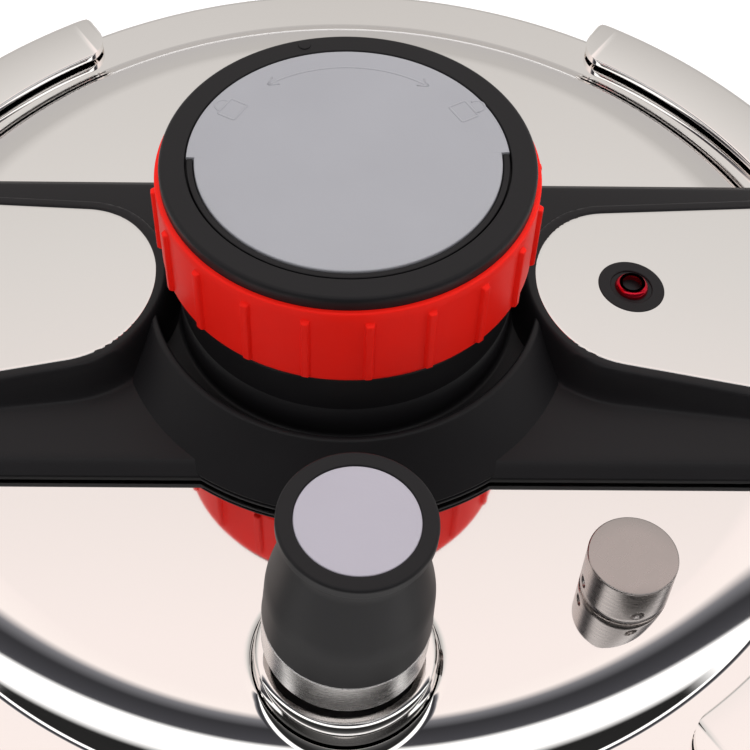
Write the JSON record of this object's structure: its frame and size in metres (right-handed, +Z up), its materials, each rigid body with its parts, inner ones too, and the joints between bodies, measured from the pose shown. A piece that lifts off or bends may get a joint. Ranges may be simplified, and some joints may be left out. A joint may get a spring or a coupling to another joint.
{
  "type": "pressure canner",
  "caption": "Stovetop pressure canner: deep steel pot, lid clamped by two sliding jaws that a centre knob drives, weight regulator, float pin and safety valve.",
  "frame": {"origin": "on the floor under the middle of the pot's base", "axes": "+Z up; X along the two lid arms and the pot handles, +X towards the float pin; -Y towards the pressure regulator"},
  "size_m": [0.3724, 0.294, 0.3089],
  "materials": {
    "polished_steel": "mirror polished",
    "base_steel": "brushed in rings",
    "plain_steel": "satin",
    "fitting_steel": "turned",
    "seal_rubber": "matte",
    "black_plastic": "fine matte texture",
    "red_plastic": "satin",
    "grey_plastic": "fine satin",
    "pale_plastic": "fine satin",
    "red_aluminium": "anodised",
    "turned_steel": "turned",
    "dark_steel": "turned"
  },
  "bodies": {
    "pot": {"base_disc": "base_steel", "handle_bracket_left": "plain_steel", "handle_bracket_right": "plain_steel", "handle_grip_left": "black_plastic", "handle_grip_right": "black_plastic", "handle_screw_left_1": "fitting_steel", "handle_screw_left_2": "fitting_steel", "handle_screw_right_1": "fitting_steel", "handle_screw_right_2": "fitting_steel", "pot_body": "polished_steel", "pot_rim": "polished_steel"},
    "lid": {"arm_plate_left": "polished_steel", "arm_plate_right": "polished_steel", "bridge_cover": "black_plastic", "centre_stud": "plain_steel", "clog_guard": "fitting_steel", "cover_screw_left": "fitting_steel", "cover_screw_right": "fitting_steel", "cross_beam": "plain_steel", "float_bezel": "black_plastic", "float_seat": "fitting_steel", "gasket": "seal_rubber", "guide_stud_left": "plain_steel", "guide_stud_right": "plain_steel", "hub_bush": "black_plastic", "lid_shell": "polished_steel", "safety_body": "dark_steel", "safety_cap": "dark_steel", "safety_nut": "fitting_steel", "safety_seal": "seal_rubber", "vent_nut": "fitting_steel", "vent_pipe": "turned_steel", "vent_seal": "seal_rubber"},
    "knob": {"drive_gear": "fitting_steel", "knob_body": "black_plastic", "knob_disc": "grey_plastic", "knob_grip_ring": "red_plastic", "knob_rim": "black_plastic", "knob_screw": "fitting_steel"},
    "jaw_left": {"jaw_left": "polished_steel", "jaw_rivet_left_1": "polished_steel", "jaw_rivet_left_2": "polished_steel", "slide_left": "plain_steel"},
    "jaw_right": {"jaw_right": "polished_steel", "jaw_rivet_right_1": "polished_steel", "jaw_rivet_right_2": "polished_steel", "slide_right": "plain_steel"},
    "float_pin": {"float_pin": "red_aluminium"},
    "regulator": {"regulator_disc": "pale_plastic", "regulator_ring": "turned_steel", "regulator_shell": "black_plastic", "regulator_weight": "turned_steel"},
    "safety_plunger": {"safety_plunger": "fitting_steel", "safety_spring": "fitting_steel"},
    "rack": {"canning_rack": "plain_steel"}
  },
  "joints": [
    {"name": "lid_turn", "type": "hinge", "parent": "pot", "child": "lid", "pos_m": [0, 0, 0.24], "axis": [0, 0, 1], "continuous": true},
    {"name": "knob_turn", "type": "hinge", "parent": "lid", "child": "knob", "pos_m": [0, 0, 0.29], "axis": [0, 0, 1], "range_deg": [-76.39, 0]},
    {"name": "jaw_left_slide", "type": "slide", "parent": "lid", "child": "jaw_left", "axis": [-1, 0, 0], "range_m": [0, 0.016]},
    {"name": "jaw_right_slide", "type": "slide", "parent": "lid", "child": "jaw_right", "axis": [1, 0, 0], "range_m": [0, 0.016]},
    {"name": "float_pin_lift", "type": "slide", "parent": "lid", "child": "float_pin", "axis": [0, 0, 1], "range_m": [0, 0.004]},
    {"name": "regulator_lift", "type": "slide", "parent": "lid", "child": "regulator", "axis": [0, 0, 1], "range_m": [0, 0.03]},
    {"name": "safety_valve_lift", "type": "slide", "parent": "lid", "child": "safety_plunger", "axis": [0, 0, 1], "range_m": [0, 0.0015], "stiffness_N_per_m": 1000, "springref_m": -0.003, "deforming": ["safety_spring"]},
    {"name": "rack_lift", "type": "slide", "parent": "pot", "child": "rack", "axis": [0, 0, 1], "range_m": [0, 0.18]}
  ],
  "couplings": [
    {"joint": "jaw_left_slide", "follows": "knob_turn", "m_per_rad": -0.012},
    {"joint": "jaw_right_slide", "follows": "knob_turn", "m_per_rad": -0.012}
  ]
}
